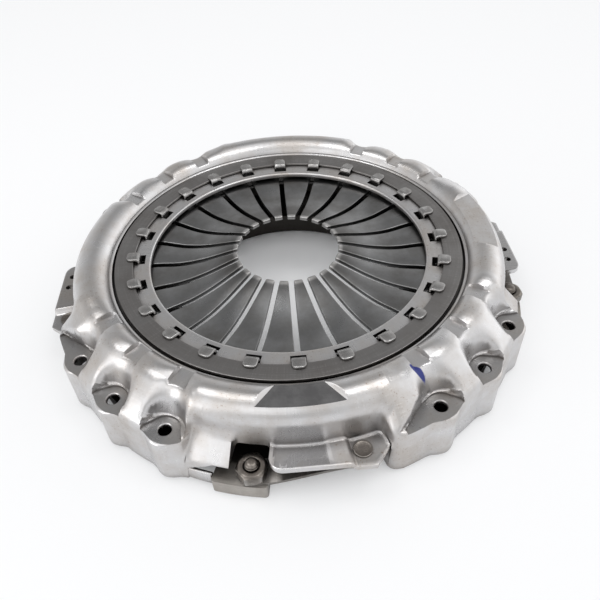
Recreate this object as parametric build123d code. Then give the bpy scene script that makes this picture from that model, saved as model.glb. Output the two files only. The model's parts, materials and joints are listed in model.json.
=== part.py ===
"""Clutch pressure plate for a 430 mm single-disc truck clutch, push type, as an assembly.

Frame: origin on the clutch axis in the plane of the friction face, +Z towards the release
bearing. The four strap units repeat every 90 degrees; the first one looks along -Y.
The plate is shown in its free position, unbolted, with the straps at their full drop.
All sizes are in millimetres.
"""

from build123d import *
from math import asin, cos, degrees, radians, sin, sqrt
import os

# Pattern counts
strap_units = 4
tab_count = 24
bolts_per_sector = 3
bolt_pitch_angle = 15.0

# Cover: sheet, flange and recess
sheet = 5.0
flange_lip_radius = 138.5
flange_top = 70.5
seat_start_radius = 166.0
seat_top = 71.4
recess_radius = 176.0
recess_rim_z = 73.4

# Cover: torus shoulder
crest_radius = 195.0
torus_radius = 18.5
torus_centre_z = 67.0
facet_width = 17.0
facet_depth = 7.0
milled_depth = 3.1
milled_flats = ((269.5, 20.0, 39.7), (4.0, 39.0, 52.0))

# Cover: skirt with the bolt pads; each reach is counted outwards from the short wall
skirt_reach = 21.0
skirt_bottom = 4.0
skirt_round = 16.0
skirt_straight_top = 48.0
sector_start = 290.0
sector_angle = 45.0
bolt_circle_radius = 225.0
bolt_hole_radius = 5.5
first_bolt_offset = 10.0
pad_top = 52.0
pad_radius = 13.0
pad_cone_radius = 23.0
column_radius = 15.3
pad_tail_radius = 216.5
pad_tail_angle = 10.5

# Cover: flared apron beside each lug window, with its foot rail
flare_end_angle = 254.2
flare_top = 52.0
flare_reach = 22.5
flare_bottom = 28.0
flare_lip = 2.5
rail_end_angle = 250.0
rail_reach = 20.5
rail_height = 4.0

# Cover: strap brackets, in the plan view of the first unit
bracket_top = 44.0
bracket_left = -29.0
bracket_step = 34.0
bracket_right = 77.0
bracket_reach = 24.5
bracket_corner = 12.0
bracket_edge_round = 1.6
step_drop = 4.5
panel_depth = 1.2
panel_margin = 7.5
panel_corner = 4.0
hook_hole_radius = 3.25
hook_hole_radial = 228.0
hook_hole_places = (-13.0, 3.0)

lug_window_left = -62.0
lug_window_top = 42.0
lug_window_corner = 6.0

# Straps, rivets, bolts and nuts
strap_offset = 221.0
strap_half_span = 45.0
strap_width = 23.0
leaf_thickness = 1.0
leaf_count = 3
strap_flat = 14.5
rivet_radius = 5.0
rivet_head_radius = 8.0
rivet_head_height = 1.4
rivet_tail_radius = 8.5
rivet_tail_height = 4.5
bolt_radius = 6.0
bolt_head_radius = 10.0
bolt_head_height = 5.5
bolt_projection = 5.0
nut_flats = 24.0
nut_height = 10.0
hole_clearance = 0.1

# Diaphragm spring
spring_thickness = 4.5
spring_outer_radius = 193.0
pivot_radius = 159.5
spring_pivot_z = 61.4
spring_edge_z = 55.6
spring_root = (136.0, 61.9)
spring_dip = (108.0, 60.8)
spring_rise = (86.0, 63.9)
spring_neck = (66.0, 69.2)
spring_tip = (51.0, 73.5)
slot_width = 5.3
slot_end_radius = 150.0
root_window_inner = 146.0
root_window_outer = 154.5

# Retaining ring with tabs, pivot rings and preload spring
ring_gap = 0.05
tab_width = 12.5
tab_thickness = 2.5
tab_leg_radius = 149.0
tab_end_radius = 162.0
tab_bend = 1.5
tab_corner = 3.5
retaining_inner_radius = 148.0
retaining_outer_radius = 168.0
window_clearance = 1.0
window_inner_radius = 146.8
window_outer_radius = 152.6
disc_spring_inner = 155.1
disc_spring_outer = 173.0
disc_spring_thickness = 2.5
disc_spring_sag = 0.7
disc_spring_tab_gap = 0.15

# Pressure plate
plate_inner_radius = 119.0
plate_outer_radius = 216.0
plate_thickness = 17.5
plate_chamfer = 1.5
hub_rim_width = 9.0
hub_rim_top = 24.0
cam_radius = 189.5
cam_width = 8.0
cam_gap = 0.05
cam_round = 2.5
vent_count = 24
vent_width = 22.0
vent_bottom = 24.0
vent_top = 42.0
rib_width = 6.0
rib_top = 26.0
lug_start_angle = 250.4
lug_end_angle = 261.9
lug_radius = 238.0
lug_bottom = 2.5
lug_corner = 3.0
plate_clearance = 2.5
lift_room = 11.0

# Derived sizes
lug_top = plate_thickness
crest_top = torus_centre_z + torus_radius
wall_radius = crest_radius + torus_radius
skirt_radius = wall_radius + skirt_reach
flare_radius = wall_radius + flare_reach
rail_radius = wall_radius + rail_reach
bracket_radius = wall_radius + bracket_reach
bracket_bottom = bracket_top - sheet
rivet_plate_top = bracket_top - step_drop
rivet_plate_bottom = rivet_plate_top - sheet
pack_thickness = leaf_count * leaf_thickness
pack_drop = rivet_plate_bottom - lug_top - pack_thickness
tab_pitch = 360.0 / tab_count
facet_floor = crest_top - facet_depth
wire_radius = (flange_top - sheet - spring_pivot_z) / 2 - ring_gap
retaining_top = spring_pivot_z - spring_thickness - 2 * (wire_radius + ring_gap)
bolt_angles = [
    sector_start + first_bolt_offset + unit * 360.0 / strap_units + step * bolt_pitch_angle
    for unit in range(strap_units)
    for step in range(bolts_per_sector)
]


def at(radius, z):
    """A point of a section, in the plane of the axis."""
    return (radius, 0, z)


def on_arc(centre, radius, angle):
    """A section point on an arc; the angle is counted from the outward direction."""
    return at(centre[0] + radius * cos(radians(angle)), centre[1] + radius * sin(radians(angle)))


def outline(*points):
    """The face inside a closed line of section points."""
    return make_face(Polyline(*points, close=True))


def spun(face, start=0.0, angle=360.0):
    """A section turned about the clutch axis, from one angle over another."""
    return Rot(0, 0, start) * revolve(face, Axis.Z, angle)


def around(shape, angles):
    """Copies of a shape at the given angles."""
    return [Rot(0, 0, angle) * shape for angle in angles]


def unit_turns():
    """The turns that carry the first strap unit to each unit."""
    return [unit * 360.0 / strap_units for unit in range(strap_units)]


def block(x_range, y_range, z_range):
    """A box given by its limits."""
    size = [high - low for low, high in (x_range, y_range, z_range)]
    middle = [(high + low) / 2 for low, high in (x_range, y_range, z_range)]
    return Pos(*middle) * Box(*size)


def rod(radius, bottom, top):
    """An upright cylinder between two heights."""
    return Pos(0, 0, bottom) * Cylinder(
        radius, top - bottom, align=(Align.CENTER, Align.CENTER, Align.MIN)
    )


# ---------------------------------------------------------------- cover housing


def shoulder_edge(radius, slope_angle):
    """The torus shoulder and the pillow below it, down to the top of the straight skirt.

    The radius tells the outer surface from the inner one, which lies one sheet deeper.
    """
    inset = torus_radius - radius
    torus = (crest_radius, torus_centre_z)
    skirt = (skirt_radius - skirt_round, skirt_straight_top)
    skirt_arc = skirt_round - inset
    crest = on_arc(torus, radius, 90)
    leave = on_arc(torus, radius, slope_angle)
    land = on_arc(skirt, skirt_arc, slope_angle)
    foot = on_arc(skirt, skirt_arc, 0)
    return [
        ThreePointArc(crest, on_arc(torus, radius, (90 + slope_angle) / 2), leave),
        Line(leave, land),
        ThreePointArc(land, on_arc(skirt, skirt_arc, slope_angle / 2), foot),
    ], crest, foot


def sector_face(radius, bottom):
    """The section below the pillow, filled inward to the crest's radius."""
    edges, crest, foot = shoulder_edge(radius, 47.0)
    low_out = at(foot[0], bottom)
    low_in = at(crest[0], bottom)
    edges += [Line(foot, low_out), Line(low_out, low_in), Line(low_in, crest)]
    return make_face(edges)


def cover_ring():
    """Flange, recess, shoulder and short wall, the same all the way round, solid below the shoulder."""
    torus = (crest_radius, torus_centre_z)
    rim_angle = 180 - degrees(asin((recess_rim_z + 1.2 - torus_centre_z) / torus_radius))
    rim, out = on_arc(torus, torus_radius, rim_angle), on_arc(torus, torus_radius, 0)
    root_radius = crest_radius - torus_radius + sheet
    flange_bottom = flange_top - sheet
    line = [
        out,
        at(out[0], bracket_bottom),
        at(root_radius, bracket_bottom),
        at(root_radius, seat_top - sheet),
        at(seat_start_radius, seat_top - sheet),
        at(seat_start_radius - 1.5, flange_bottom),
        at(flange_lip_radius, flange_bottom),
        at(flange_lip_radius, flange_top),
        at(seat_start_radius, flange_top),
        at(seat_start_radius + 1.5, seat_top),
        at(recess_radius, seat_top),
        at(recess_radius, recess_rim_z),
        rim,
    ]
    edges = [Line(a, b) for a, b in zip(line, line[1:])]
    edges.append(ThreePointArc(rim, on_arc(torus, torus_radius, 90), out))
    return spun(make_face(edges))


def shoulder_void():
    """The space under the shoulder, inside the wall."""
    inner = torus_radius - sheet
    torus = (crest_radius, torus_centre_z)
    root, back = on_arc(torus, inner, 180), on_arc(torus, inner, 0)
    low_in, low_out = at(root[0], -1), at(back[0], -1)
    arc = ThreePointArc(root, on_arc(torus, inner, 90), back)
    return spun(make_face([arc, Line(back, low_out), Line(low_out, low_in), Line(low_in, root)]))


def pad_cutters(grow):
    """What each bolt pocket takes away above its pad; grow is the sheet for the inner side."""
    height = facet_floor - pad_top
    spread = (pad_cone_radius - pad_radius) / height
    tall = 1.5 * height
    cone = Pos(bolt_circle_radius, 0, pad_top - grow) * Cone(
        pad_radius + grow,
        pad_radius + grow + spread * tall,
        tall,
        align=(Align.CENTER, Align.CENTER, Align.MIN),
    )
    facet = block(
        (recess_radius, crest_radius + torus_radius + 3),
        (-facet_width / 2 - grow, facet_width / 2 + grow),
        (facet_floor - grow, crest_top + 5),
    )
    cutters = around(cone, bolt_angles) + around(facet, bolt_angles)
    tail = outline(
        at(pad_tail_radius - grow, pad_top - grow),
        at(skirt_radius + 10, pad_top - grow),
        at(skirt_radius + 10, crest_top),
        at(pad_tail_radius - grow, crest_top),
    )
    start = sector_start + first_bolt_offset - pad_tail_angle
    wider = degrees(grow / bolt_circle_radius)
    piece = spun(tail, start - wider, pad_tail_angle + wider)
    return cutters + around(piece, unit_turns())


def bolt_columns(radius, bottom, top):
    """Upright columns round the bolt holes, which scallop the skirt."""
    column = Pos(bolt_circle_radius, 0, 0) * rod(radius, bottom, top)
    return around(column, bolt_angles)


def bracket_plan(left, right, margin=0.0):
    """Plan outline of a bracket plate between two places across the unit."""
    strip = Pos((left + right) / 2, -(wall_radius + bracket_radius) / 2) * Rectangle(
        right - left, bracket_radius - wall_radius + 14 - 2 * margin
    )
    return strip & Circle(bracket_radius - margin)


def bracket():
    """Pressed bracket of the first unit: upper plate, step, rivet plate and its wall."""
    plan = bracket_plan(bracket_left, bracket_step)
    corner = plan.vertices().sort_by(Axis.Y)[:2].sort_by(Axis.X)[0]
    upper = extrude(fillet(corner, bracket_corner), sheet)
    rim = upper.faces().sort_by(Axis.Z)[-1].edges().filter_by(lambda e: e.center().Y < -wall_radius)
    upper = Pos(0, 0, bracket_bottom) * fillet(rim, bracket_edge_round)
    step = Pos(0, 0, rivet_plate_bottom) * extrude(
        bracket_plan(bracket_step - sheet, bracket_step), step_drop + sheet / 2
    )
    lower = Pos(0, 0, rivet_plate_bottom) * extrude(
        bracket_plan(bracket_step - sheet, bracket_right), sheet
    )
    wall = outline(
        at(wall_radius - sheet, rivet_plate_bottom),
        at(wall_radius, rivet_plate_bottom),
        at(wall_radius, bracket_top),
        at(wall_radius - sheet, bracket_top),
    )
    start = 270 + degrees(asin((bracket_step - sheet) / wall_radius))
    return [upper, step, lower, spun(wall, start, sector_start + 1 - start)]


def apron():
    """Flared wall beside the lug window and the foot rail below it, for the first unit."""
    slope = (flare_radius - wall_radius) / (flare_top - flare_bottom - flare_lip)
    drop = sheet * sqrt(1 + slope**2) / slope
    face = outline(
        at(wall_radius - sheet, flare_top + sheet),
        at(wall_radius, flare_top + sheet),
        at(wall_radius, flare_top),
        at(flare_radius, flare_bottom + flare_lip),
        at(flare_radius, flare_bottom),
        at(flare_radius - sheet, flare_bottom),
        at(wall_radius - sheet, flare_top - drop + sheet / slope),
    )
    sector_end = sector_start + sector_angle - 360.0 / strap_units
    sweep = flare_end_angle - sector_end + 0.6
    wall = spun(face, sector_end - 0.6, sweep)
    rail = outline(
        at(rail_radius - sheet, skirt_bottom),
        at(rail_radius, skirt_bottom),
        at(rail_radius, skirt_bottom + rail_height),
        at(rail_radius - sheet, skirt_bottom + rail_height),
    )
    return [wall, spun(rail, sector_end - 0.6, rail_end_angle - sector_end + 0.6)]


def cover_housing():
    """The deep-drawn cover, one sheet thick."""
    end_wall = degrees(sheet / bolt_circle_radius)
    inner = torus_radius - sheet
    sectors = [sector_start + turn for turn in unit_turns()]
    outer_sector = spun(sector_face(torus_radius, skirt_bottom), 0, sector_angle)
    inner_sector = spun(sector_face(inner, -1), end_wall, sector_angle - 2 * end_wall)
    solid = cover_ring() + around(outer_sector, sectors)
    solid += bolt_columns(column_radius, skirt_bottom, pad_top)
    for piece in bracket() + apron():
        solid += around(piece, unit_turns())
    solid -= pad_cutters(0)
    kept = pad_cutters(sheet)
    rooms = [shoulder_void()] + around(inner_sector, sectors)
    rooms += bolt_columns(column_radius - sheet, -1, pad_top - sheet)
    solid -= [room - kept for room in rooms]
    solid -= rod(plate_outer_radius + plate_clearance, -1, plate_thickness + lift_room)
    return solid - cover_holes()


def cover_holes():
    """Bolt holes, tab windows, rivet and hook holes, the bare panel and the milled flats."""
    bolt_hole = Pos(bolt_circle_radius, 0, 0) * rod(bolt_hole_radius, pad_top - 2 * sheet, crest_top)
    window = block(
        (window_inner_radius, window_outer_radius),
        (-tab_width / 2 - window_clearance, tab_width / 2 + window_clearance),
        (flange_top - 2 * sheet, flange_top + sheet),
    )
    cuts = around(bolt_hole, bolt_angles)
    cuts += around(window, [number * tab_pitch for number in range(tab_count)])
    rivet_hole = Pos(strap_half_span, -strap_offset, 0) * rod(
        rivet_radius + hole_clearance, rivet_plate_bottom - sheet, bracket_top
    )
    cuts += around(rivet_hole, unit_turns())
    opening = block(
        (lug_window_left, bracket_left), (-wall_radius - sheet, -wall_radius / 2), (0, lug_window_top)
    )
    opening = fillet(opening.edges().filter_by(Axis.Y).sort_by(Axis.Z)[-2:], lug_window_corner)
    cuts += around(opening, unit_turns())
    for place in hook_hole_places:
        hole = Pos(place, -hook_hole_radial, 0) * rod(hook_hole_radius, bracket_bottom - 1, bracket_top + 1)
        cuts += around(hole, unit_turns()[1:])
    panel = bracket_plan(bracket_left + panel_margin, bracket_step - 1.6 * panel_margin, panel_margin)
    panel &= Pos(0, -bracket_radius) * Rectangle(4 * bracket_radius, 2 * (bracket_radius - wall_radius - 1))
    panel = fillet(panel.vertices(), panel_corner)
    cuts.append(Pos(0, 0, bracket_top - panel_depth) * extrude(panel, sheet))
    for angle, inner_half, outer_half in milled_flats:
        corners = [
            (recess_radius, -inner_half),
            (wall_radius, -outer_half),
            (wall_radius, outer_half),
            (recess_radius, inner_half),
        ]
        flat = extrude(make_face(Polyline(*corners, close=True)), sheet)
        cuts.append(Rot(0, 0, angle) * Pos(0, 0, crest_top - milled_depth) * flat)
    return cuts


# ---------------------------------------------------------------- springs and rings


def disc_spring_underside(radius):
    """Height of the preload spring's lower face, which rests on the inner edge of its seat."""
    slope = disc_spring_sag / (disc_spring_outer - disc_spring_inner)
    return seat_top + ring_gap + slope * (radius - seat_start_radius - 1.5)


def preload_disc_spring():
    """Flat conical spring in the recess, which pulls the tabs up."""
    low, high = disc_spring_underside(disc_spring_inner), disc_spring_underside(disc_spring_outer)
    return spun(
        outline(
            at(disc_spring_inner, low),
            at(disc_spring_outer, high),
            at(disc_spring_outer, high + disc_spring_thickness),
            at(disc_spring_inner, low + disc_spring_thickness),
        )
    )


def retaining_tab_ring():
    """Ring under the diaphragm spring, with tabs bent out over the preload spring."""
    ring_bottom = retaining_top - tab_thickness
    leg_bottom = retaining_top - tab_thickness / 2
    ring = spun(
        outline(
            at(retaining_inner_radius, ring_bottom),
            at(retaining_outer_radius, ring_bottom),
            at(retaining_outer_radius, retaining_top),
            at(retaining_inner_radius, retaining_top),
        )
    )
    under = disc_spring_underside(tab_end_radius) + disc_spring_thickness + disc_spring_tab_gap
    bend = (tab_leg_radius + tab_thickness + tab_bend, under - tab_bend)
    outer = tab_thickness + tab_bend
    low_in, low_out = at(tab_leg_radius, leg_bottom), at(tab_leg_radius + tab_thickness, leg_bottom)
    inside, outside = on_arc(bend, tab_bend, 180), on_arc(bend, outer, 180)
    over, top = on_arc(bend, tab_bend, 90), on_arc(bend, outer, 90)
    end_low, end_top = at(tab_end_radius, under), at(tab_end_radius, under + tab_thickness)
    face = make_face([
        Line(low_in, outside),
        ThreePointArc(outside, on_arc(bend, outer, 135), top),
        Line(top, end_top),
        Line(end_top, end_low),
        Line(end_low, over),
        ThreePointArc(over, on_arc(bend, tab_bend, 135), inside),
        Line(inside, low_out),
        Line(low_out, low_in),
    ])
    tab = extrude(face, tab_width / 2, both=True)
    corners = tab.edges().filter_by(Axis.Z).sort_by(Axis.X)[-2:]
    tab = fillet(corners, tab_corner)
    return ring + around(tab, [number * tab_pitch for number in range(tab_count)])


def pivot_ring(centre_z):
    """Wire ring that the diaphragm spring tilts on."""
    section = Plane.XZ * Pos(pivot_radius, centre_z) * Circle(wire_radius)
    return revolve(section, Axis.Z)


def spring_top_edge(drop):
    """Radial section line of the spring, with the given drop below its upper surface."""
    line = ((spring_outer_radius, spring_edge_z), (pivot_radius, spring_pivot_z))
    line += (spring_root, spring_dip, spring_rise, spring_neck, spring_tip)
    return Spline(*[at(radius, z - drop) for radius, z in line])


def diaphragm_spring():
    """Slotted conical spring with raised finger tips."""
    upper, lower = spring_top_edge(0), spring_top_edge(spring_thickness)
    ends = [Line(upper @ 0, lower @ 0), Line(upper @ 1, lower @ 1)]
    disc = spun(make_face([upper, lower] + ends))
    slot = block((0, slot_end_radius), (-slot_width / 2, slot_width / 2), (0, 2 * spring_tip[1]))
    half = tab_width / 2 + window_clearance
    window = block((root_window_inner, root_window_outer), (-half, half), (0, 2 * spring_tip[1]))
    rounded = fillet(window.edges().filter_by(Axis.Z), 2 * window_clearance)
    return disc - around(slot + rounded, [number * tab_pitch for number in range(tab_count)])


# ---------------------------------------------------------------- pressure plate


def lug():
    """Lug of the first unit, with the bolt hole and the pocket for the bolt's head."""
    inner = plate_outer_radius - 12
    area = outline(
        at(inner, lug_bottom), at(lug_radius, lug_bottom), at(lug_radius, lug_top), at(inner, lug_top)
    )
    body = spun(area, lug_start_angle, lug_end_angle - lug_start_angle)
    corners = body.edges().filter_by(Axis.Z).filter_by(
        lambda e: sqrt(e.center().X ** 2 + e.center().Y ** 2) > plate_outer_radius + 5
    )
    return fillet(corners, lug_corner)


def plate_section():
    """Friction ring, inner rim and cam ring, as one casting section."""
    cam_top = spring_edge_z + (spring_pivot_z - spring_edge_z) * (spring_outer_radius - cam_radius) / (
        spring_outer_radius - pivot_radius
    ) - spring_thickness - cam_gap
    cam_in, cam_out = cam_radius - cam_width / 2, cam_radius + cam_width / 2
    rim = plate_inner_radius + hub_rim_width
    path = [
        at(plate_inner_radius, plate_chamfer),
        at(plate_inner_radius + plate_chamfer, 0),
        at(plate_outer_radius - plate_chamfer, 0),
        at(plate_outer_radius, plate_chamfer),
        at(plate_outer_radius, plate_thickness),
        at(cam_out + 5, plate_thickness),
        at(cam_out, vent_bottom),
        at(cam_out, cam_top - cam_round),
        at(cam_radius + 1, cam_top),
        at(cam_radius - 1, cam_top),
        at(cam_in, cam_top - cam_round),
        at(cam_in, vent_bottom),
        at(cam_in - 5, plate_thickness),
        at(rim + 4, plate_thickness),
        at(rim, hub_rim_top),
        at(plate_inner_radius, hub_rim_top),
    ]
    return outline(*path)


def pressure_plate():
    """Cast plate: friction face below, vented cam ring and ribs above, four lugs."""
    body = spun(plate_section())
    lugs = around(lug(), unit_turns())
    rib = block(
        (plate_inner_radius + hub_rim_width - 2, cam_radius),
        (-rib_width / 2, rib_width / 2),
        (plate_thickness / 2, rib_top),
    )
    pitch = 360.0 / vent_count
    vent = block(
        (cam_radius - cam_width, cam_radius + cam_width),
        (-vent_width / 2, vent_width / 2),
        (vent_bottom, vent_top),
    )
    ribs = around(rib, [number * pitch for number in range(vent_count)])
    body = body + lugs + ribs
    body -= around(vent, [(number + 0.5) * pitch for number in range(vent_count)])
    hole = Pos(-strap_half_span, -strap_offset, 0) * (
        rod(bolt_radius + hole_clearance, 0, hub_rim_top)
        + rod(bolt_head_radius + 3 * hole_clearance, 0, lug_bottom + bolt_head_height + 0.7)
    )
    return body - around(hole, unit_turns())


# ---------------------------------------------------------------- straps and fasteners


def strap_leaf(number):
    """One leaf of the first unit's pack, counted from the bottom."""
    low, high = lug_top + number * leaf_thickness, lug_top + pack_drop + number * leaf_thickness
    end = strap_half_span + strap_width / 2
    flat = strap_half_span - strap_flat
    line = [(-end, low), (-flat, low), (flat, high), (end, high)]
    line += [(x, z + leaf_thickness) for x, z in reversed(line)]
    side = make_face(Polyline(*[(x, -strap_offset, z) for x, z in line], close=True))
    ribbon = extrude(side, strap_width / 2, both=True, dir=(0, 1, 0))
    plan = Rectangle(2 * strap_half_span, strap_width) + [
        Pos(side_x, 0) * Circle(strap_width / 2) for side_x in (-strap_half_span, strap_half_span)
    ]
    column = Pos(0, -strap_offset, 0) * extrude(plan, bracket_top)
    holes = Pos(strap_half_span, -strap_offset, 0) * rod(rivet_radius + hole_clearance, 0, bracket_top)
    holes += Pos(-strap_half_span, -strap_offset, 0) * rod(bolt_radius + 3 * hole_clearance, 0, bracket_top)
    return (ribbon & column) - holes


def strap_rivet():
    """Rivet that holds the pack to the bracket, with a flat head above and a round one below."""
    pack_bottom = rivet_plate_bottom - pack_thickness
    body = rod(rivet_radius, pack_bottom, rivet_plate_top)
    head = rod(rivet_head_radius, rivet_plate_top, rivet_plate_top + rivet_head_height)
    head = chamfer(head.faces().sort_by(Axis.Z)[-1].edges(), rivet_head_height / 2)
    tail = rod(rivet_tail_radius, pack_bottom - rivet_tail_height, pack_bottom)
    tail = fillet(tail.faces().sort_by(Axis.Z)[0].edges(), rivet_tail_height * 0.8)
    return Pos(strap_half_span, -strap_offset, 0) * (body + head + tail)


def lug_bolt():
    """Bolt through the lug, with its head sunk below and a domed end above the nut."""
    shank_top = lug_top + pack_thickness + nut_height + bolt_projection
    head = rod(bolt_head_radius, lug_bottom + 0.7, lug_bottom + 0.7 + bolt_head_height)
    shank = rod(bolt_radius, lug_bottom + 0.7, shank_top)
    shank = fillet(shank.faces().sort_by(Axis.Z)[-1].edges(), bolt_radius * 0.55)
    return Pos(-strap_half_span, -strap_offset, 0) * (head + shank)


def lug_nut():
    """Hexagon nut on the pack, chamfered above."""
    bottom = lug_top + pack_thickness
    corner_radius = nut_flats / sqrt(3)
    hexagon = Pos(0, 0, bottom) * extrude(RegularPolygon(corner_radius, 6), nut_height)
    dome = Pos(0, 0, bottom) * Cone(
        corner_radius + nut_height / 2,
        nut_flats / 2 - 0.6,
        nut_height,
        align=(Align.CENTER, Align.CENTER, Align.MIN),
    )
    nut = (hexagon & dome) - rod(bolt_radius + hole_clearance, bottom - 1, bottom + nut_height + 1)
    return Pos(-strap_half_span, -strap_offset, 0) * nut


def assembly():
    """Every piece by name, where it sits in the free position."""
    pieces = {
        "cover_housing": cover_housing(),
        "preload_disc_spring": preload_disc_spring(),
        "retaining_tab_ring": retaining_tab_ring(),
        "upper_pivot_ring": pivot_ring(spring_pivot_z + ring_gap + wire_radius),
        "lower_pivot_ring": pivot_ring(spring_pivot_z - spring_thickness - ring_gap - wire_radius),
        "diaphragm_spring": diaphragm_spring(),
        "pressure_plate": pressure_plate(),
    }
    for unit, turn in enumerate(unit_turns(), start=1):
        for number, level in enumerate(("bottom", "middle", "top")):
            pieces[f"strap_{unit}_leaf_{level}"] = Rot(0, 0, turn) * strap_leaf(number)
        pieces[f"strap_rivet_{unit}"] = Rot(0, 0, turn) * strap_rivet()
        pieces[f"lug_bolt_{unit}"] = Rot(0, 0, turn) * lug_bolt()
        pieces[f"lug_nut_{unit}"] = Rot(0, 0, turn) * lug_nut()
    return pieces


os.makedirs("parts", exist_ok=True)
for name, shape in assembly().items():
    export_step(shape, f"parts/{name}.step")
    print(name, len(shape.solids()), round(shape.volume))
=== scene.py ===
"""Looks of a truck clutch's pressure plate assembly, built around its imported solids.

The scene is in metres and the sizes of its forms in millimetres. The clutch axis is Z, and the
friction face lies at height zero.
"""

import json
from math import atan2, cos, degrees, hypot, pi, radians, sin, sqrt

import bmesh
import bpy
import numpy as np
from mathutils import Matrix, Vector


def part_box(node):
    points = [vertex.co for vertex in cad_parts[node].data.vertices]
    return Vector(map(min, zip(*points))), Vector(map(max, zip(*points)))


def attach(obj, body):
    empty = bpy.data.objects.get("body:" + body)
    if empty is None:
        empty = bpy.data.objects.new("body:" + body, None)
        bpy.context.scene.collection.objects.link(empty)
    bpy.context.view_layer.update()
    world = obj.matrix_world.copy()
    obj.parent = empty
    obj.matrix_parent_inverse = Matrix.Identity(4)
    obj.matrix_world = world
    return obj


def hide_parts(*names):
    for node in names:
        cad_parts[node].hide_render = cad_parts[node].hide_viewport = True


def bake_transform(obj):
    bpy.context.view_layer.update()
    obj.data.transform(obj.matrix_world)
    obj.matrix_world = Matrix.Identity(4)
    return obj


MM = 0.001

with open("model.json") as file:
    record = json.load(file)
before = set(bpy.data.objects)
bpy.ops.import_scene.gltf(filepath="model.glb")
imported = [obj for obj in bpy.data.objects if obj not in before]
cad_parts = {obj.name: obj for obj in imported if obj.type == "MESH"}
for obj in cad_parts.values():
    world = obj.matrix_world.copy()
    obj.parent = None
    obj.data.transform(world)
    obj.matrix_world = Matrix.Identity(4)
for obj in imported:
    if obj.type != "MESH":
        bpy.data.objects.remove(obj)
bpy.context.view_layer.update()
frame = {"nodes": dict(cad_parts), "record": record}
nodes = frame["nodes"]


# ---------- camera


def place_camera():
    """The camera stands in front of the first strap unit, a little left, looking down."""
    camera = bpy.data.objects.new("camera", bpy.data.cameras.new("camera"))
    bpy.context.scene.collection.objects.link(camera)
    camera.data.sensor_width = 36
    camera.data.lens = 37.4
    camera.data.clip_start, camera.data.clip_end = 0.01, 20
    azimuth, height, roll = radians(-2.143), radians(43.962), radians(-3.096)
    back = Vector((sin(azimuth) * cos(height), -cos(azimuth) * cos(height), sin(height)))
    turn = (-back).to_track_quat("-Z", "Y").to_matrix() @ Matrix.Rotation(roll, 3, "Z")
    camera.matrix_world = Matrix.Translation((-0.00897, -0.49236, 0.47168)) @ turn.to_4x4()
    bpy.context.scene.camera = camera


place_camera()
bpy.context.scene.view_settings.view_transform = "Standard"


# ---------- shader helpers


class Graph:
    """Shader nodes, joined by the names or numbers of their sockets."""

    def __init__(self, tree):
        self.tree = tree

    def join(self, node, inputs):
        """Links sockets to a node's inputs, or writes plain values."""
        for key, value in inputs.items():
            if isinstance(value, bpy.types.NodeSocket):
                self.tree.links.new(value, node.inputs[key])
            else:
                node.inputs[key].default_value = value

    def add(self, kind, inputs=None, **settings):
        """A node with its settings."""
        node = self.tree.nodes.new(kind)
        for key, value in settings.items():
            setattr(node, key, value)
        self.join(node, inputs or {})
        return node

    def use(self, group, inputs):
        """A shared effect with this material's own values."""
        return self.add("ShaderNodeGroup", inputs, node_tree=group).outputs

    def span(self, value, low, high, to_low=0.0, to_high=1.0, **settings):
        """A value carried from one range to another and held inside it."""
        return self.add("ShaderNodeMapRange", {
            "Value": value, "From Min": low, "From Max": high, "To Min": to_low, "To Max": to_high,
        }, **settings).outputs["Result"]

    def math(self, kind, *values):
        """A calculation on values."""
        return self.add("ShaderNodeMath", dict(enumerate(values)), operation=kind).outputs[0]

    def mix(self, share, first, second):
        """The first colour where the share is 0, the second where it is 1."""
        return self.add("ShaderNodeMix", {0: share, 6: first, 7: second}, data_type="RGBA").outputs[2]

    def noise(self, place, scale, detail, roughness=0.5):
        """Cloudy values around a half."""
        return self.add("ShaderNodeTexNoise", {
            "Vector": place, "Scale": scale, "Detail": detail, "Roughness": roughness,
        }).outputs[0]

    def bump(self, strength, depth, height, below=None):
        """A normal raised by a height, on top of the one below."""
        inputs = {"Strength": strength, "Distance": depth, "Height": height}
        if below is not None:
            inputs["Normal"] = below
        return self.add("ShaderNodeBump", inputs).outputs[0]

    def place(self):
        """Where a point of the piece lies, in metres."""
        return self.add("ShaderNodeTexCoord").outputs["Object"]

    def parts(self, vector):
        """The vector's parts by their names X, Y and Z."""
        return self.add("ShaderNodeSeparateXYZ", {0: vector}).outputs

    def length(self, vector):
        """How long the vector is."""
        return self.add("ShaderNodeVectorMath", {0: vector}, operation="LENGTH").outputs["Value"]

    def plan(self):
        """A point's place seen along the axis, and its distance from it."""
        flat = self.add(
            "ShaderNodeVectorMath", {0: self.place(), 1: (1, 1, 0)}, operation="MULTIPLY"
        ).outputs[0]
        return flat, self.length(flat)


class Recipe(Graph):
    """A material under construction."""

    def __init__(self, name):
        self.material = bpy.data.materials.new(name)
        self.material.use_nodes = True
        super().__init__(self.material.node_tree)
        self.shader = self.tree.nodes["Principled BSDF"]

    def put(self, **sockets):
        """Joins values to the shader's sockets, named with underscores for spaces."""
        self.join(self.shader, {key.replace("_", " ").title(): value for key, value in sockets.items()})


NUMBER, DIRECTION = "NodeSocketFloat", "NodeSocketVector"


class Effect(Graph):
    """A node group that materials share, with numbers as its inputs."""

    def __init__(self, name, inputs, outputs):
        super().__init__(bpy.data.node_groups.new(name, "ShaderNodeTree"))
        for key, start in inputs.items():
            socket = self.tree.interface.new_socket(key, in_out="INPUT", socket_type=NUMBER)
            socket.default_value = start
        for key, kind in outputs.items():
            self.tree.interface.new_socket(key, in_out="OUTPUT", socket_type=kind)
        self.given = self.tree.nodes.new("NodeGroupInput").outputs
        self.out = self.tree.nodes.new("NodeGroupOutput").inputs

    def give(self, **values):
        """What the effect puts out."""
        for key, value in values.items():
            self.tree.links.new(value, self.out[key])


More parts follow.
